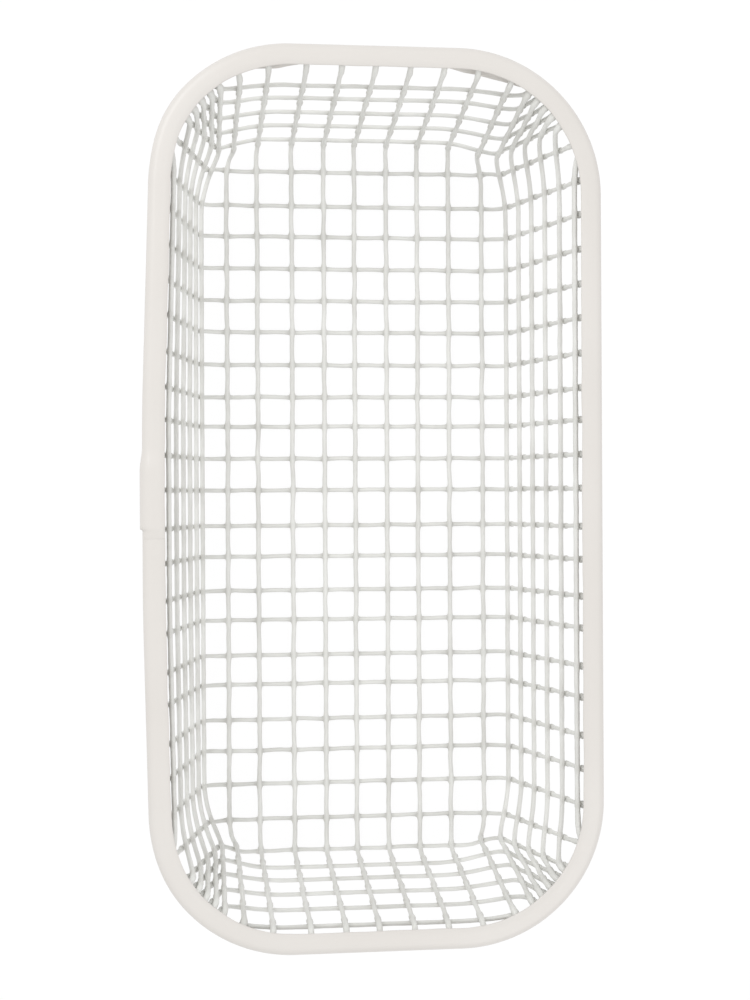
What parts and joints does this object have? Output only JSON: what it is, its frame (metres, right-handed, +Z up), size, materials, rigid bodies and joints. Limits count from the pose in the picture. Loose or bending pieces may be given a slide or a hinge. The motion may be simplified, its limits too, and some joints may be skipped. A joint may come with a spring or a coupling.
{
  "type": "wire locker basket",
  "caption": "Shallow tray-shaped locker basket of pale coated welded wire mesh, with rounded corners and a thin folded steel rim lapped on one side.",
  "frame": {"origin": "Middle of the bounding box in plan, on the ground under the lowest cross wires.", "axes": "+Y runs along the basket, its longest side, towards the top of the picture. +Z is up out of the open top. +X runs across it, away from the side where the rim laps."},
  "size_m": [0.1679, 0.3262, 0.0743],
  "materials": {
    "wire_coat": "pale warm grey coating, softly glossy, pooled a little at the welds",
    "rim_coat": "pale cream grey coating, smooth and softly glossy"
  },
  "bodies": {
    "root": {"long_wire_01": "wire_coat", "long_wire_02": "wire_coat", "long_wire_03": "wire_coat", "long_wire_04": "wire_coat", "long_wire_05": "wire_coat", "long_wire_06": "wire_coat", "long_wire_07": "wire_coat", "long_wire_08": "wire_coat", "long_wire_09": "wire_coat", "long_wire_10": "wire_coat", "long_wire_11": "wire_coat", "long_wire_12": "wire_coat", "long_wire_13": "wire_coat", "long_wire_14": "wire_coat", "long_wire_15": "wire_coat", "long_wire_16": "wire_coat", "long_wire_17": "wire_coat", "long_wire_18": "wire_coat", "long_wire_19": "wire_coat", "long_wire_20": "wire_coat", "long_wire_21": "wire_coat", "cross_wire_01": "wire_coat", "cross_wire_02": "wire_coat", "cross_wire_03": "wire_coat", "cross_wire_04": "wire_coat", "cross_wire_05": "wire_coat", "cross_wire_06": "wire_coat", "cross_wire_07": "wire_coat", "cross_wire_08": "wire_coat", "cross_wire_09": "wire_coat", "cross_wire_10": "wire_coat", "cross_wire_11": "wire_coat", "cross_wire_12": "wire_coat", "cross_wire_13": "wire_coat", "cross_wire_14": "wire_coat", "cross_wire_15": "wire_coat", "cross_wire_16": "wire_coat", "cross_wire_17": "wire_coat", "cross_wire_18": "wire_coat", "cross_wire_19": "wire_coat", "cross_wire_20": "wire_coat", "cross_wire_21": "wire_coat", "cross_wire_22": "wire_coat", "cross_wire_23": "wire_coat", "cross_wire_24": "wire_coat", "cross_wire_25": "wire_coat", "cross_wire_26": "wire_coat", "cross_wire_27": "wire_coat", "cross_wire_28": "wire_coat", "cross_wire_29": "wire_coat", "cross_wire_30": "wire_coat", "cross_wire_31": "wire_coat", "cross_wire_32": "wire_coat", "rim_strip": "rim_coat"}
  },
  "joints": []
}
